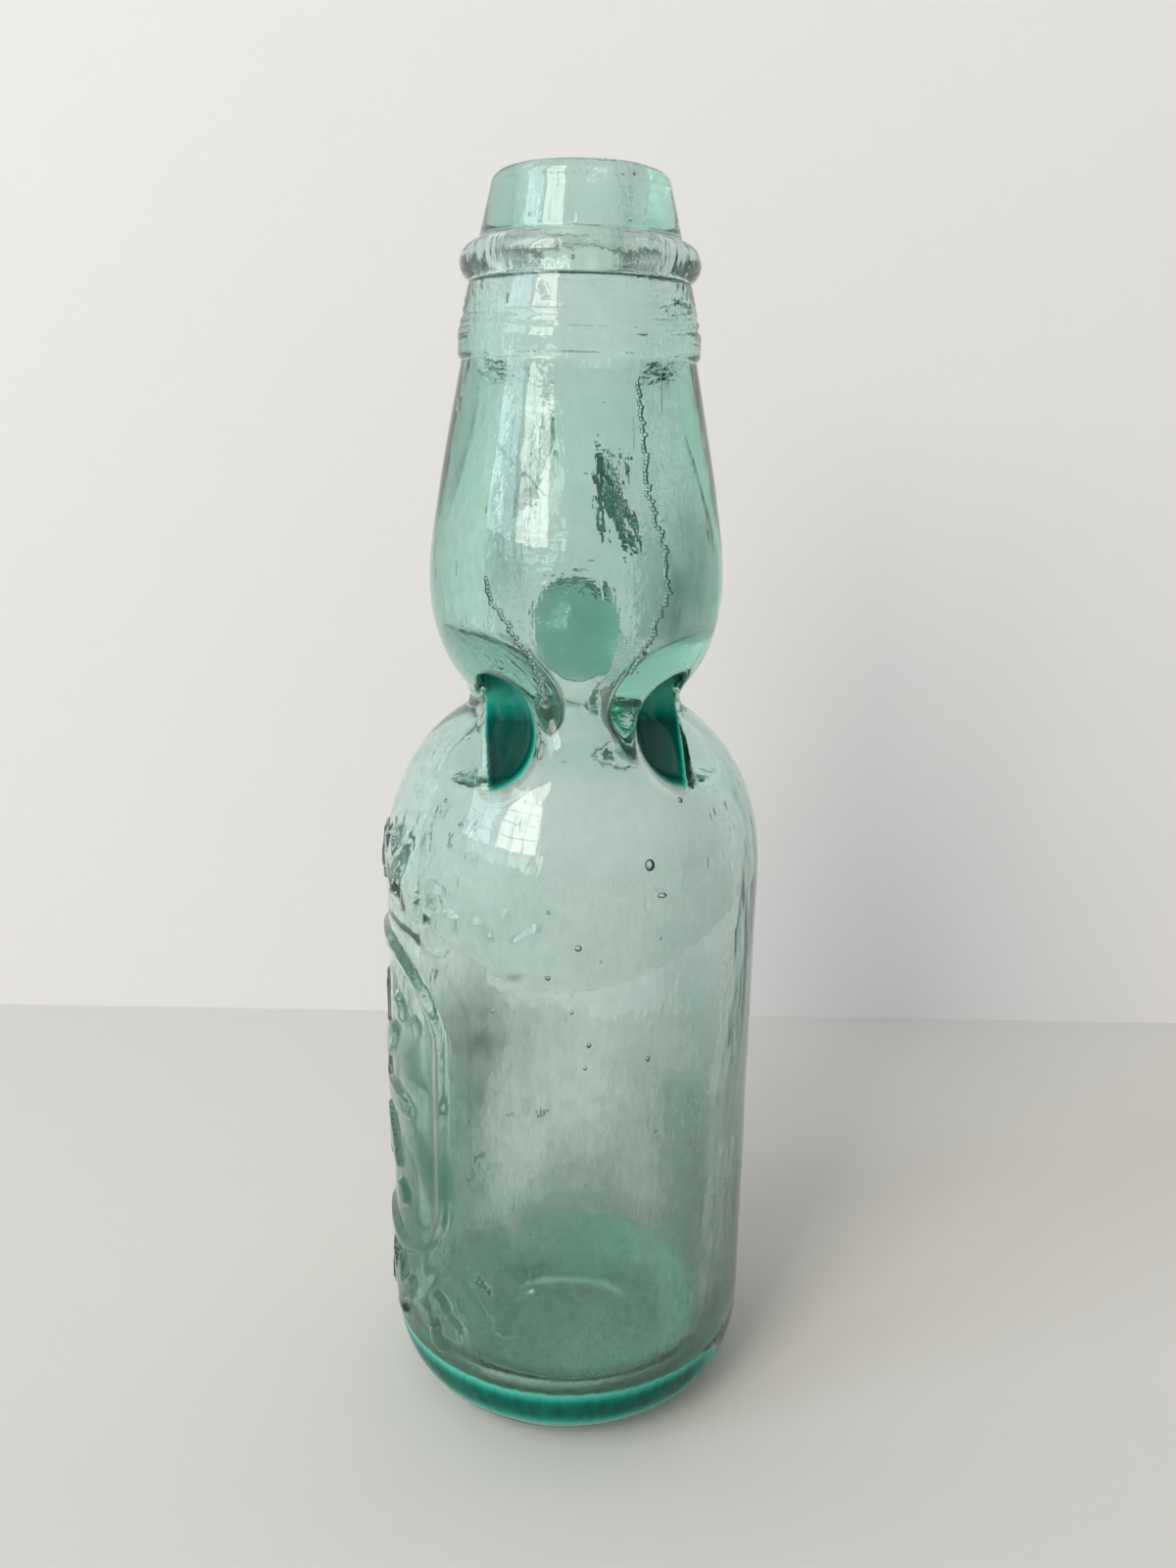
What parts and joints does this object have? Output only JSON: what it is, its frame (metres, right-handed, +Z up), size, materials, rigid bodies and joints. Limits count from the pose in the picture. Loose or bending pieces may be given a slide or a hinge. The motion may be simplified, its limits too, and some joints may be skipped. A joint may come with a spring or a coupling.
{
  "type": "marble stopper bottle",
  "caption": "Small round glass bottle with a pinched waist, a loose glass marble in its neck chamber and a rubber ring in the mouth that the marble seals against",
  "frame": {"origin": "on the surface the bottle stands on, at the bottle's axis", "axes": "+Z up out of the mouth; the raised ornament faces -X; the catches for the marble are at the back, +Y"},
  "size_m": [0.0581, 0.0582, 0.1854],
  "materials": {
    "aqua_glass": "old bubbly aqua glass, slightly wavy",
    "marble_glass": "solid aqua glass, smooth with fine scuffs",
    "ring_rubber": "pale, translucent gum rubber"
  },
  "bodies": {
    "glass": {"bottle": "aqua_glass", "seal_ring": "ring_rubber"},
    "marble": {"marble": "marble_glass"}
  },
  "joints": [
    {"name": "marble_lift", "type": "slide", "parent": "glass", "child": "marble", "axis": [0, 0, 1], "range_m": [0, 0.04278]}
  ]
}
